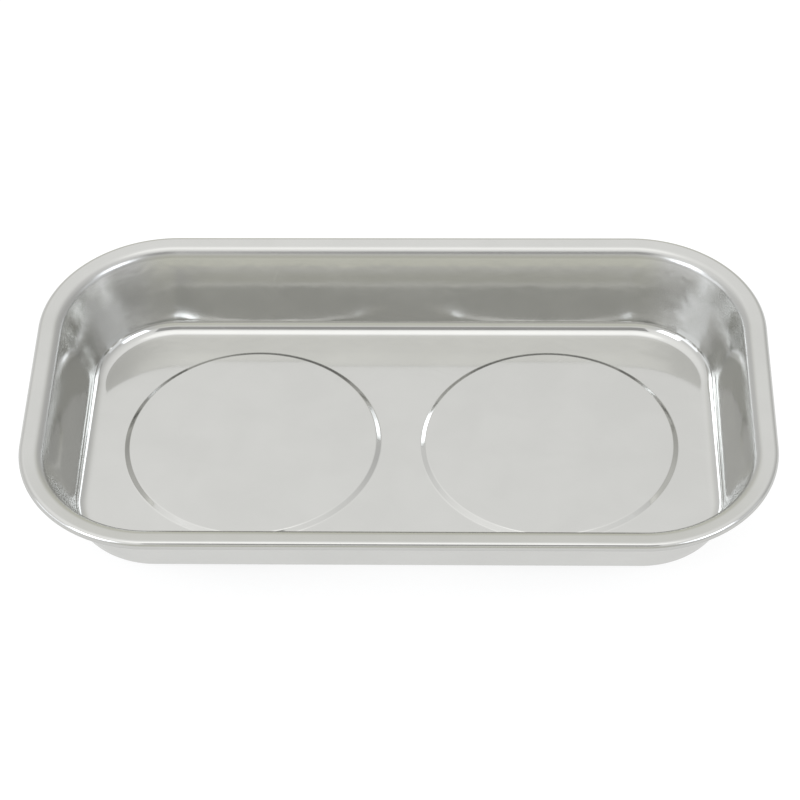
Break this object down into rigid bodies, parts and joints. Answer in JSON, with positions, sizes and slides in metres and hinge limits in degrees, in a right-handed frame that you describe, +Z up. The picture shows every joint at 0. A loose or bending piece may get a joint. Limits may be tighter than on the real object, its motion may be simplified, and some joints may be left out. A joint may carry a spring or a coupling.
{
  "type": "magnetic parts tray",
  "caption": "Shallow rectangular tray of polished sheet steel with round corners, a rolled rim and raised floor discs over rubber-booted ring magnets that hold small steel parts.",
  "frame": {"origin": "middle of the tray, on the surface that its two rubber boots stand on", "axes": "+X along the tray, +Y across it to the far long side, +Z up out of the tray"},
  "size_m": [0.24, 0.14, 0.04],
  "materials": {
    "pan_steel": "polished",
    "plated_steel": "zinc plated",
    "ferrite": "sintered, matt",
    "rubber": "moulded, matt"
  },
  "bodies": {
    "root": {"tray_pan": "pan_steel", "weld_stud_left": "plated_steel", "weld_stud_right": "plated_steel", "ring_magnet_left": "ferrite", "ring_magnet_right": "ferrite", "rubber_boot_left": "rubber", "rubber_boot_right": "rubber", "magnet_retainer_left": "plated_steel", "magnet_retainer_right": "plated_steel", "washer_left": "plated_steel", "washer_right": "plated_steel", "nut_left": "plated_steel", "nut_right": "plated_steel"}
  },
  "joints": []
}
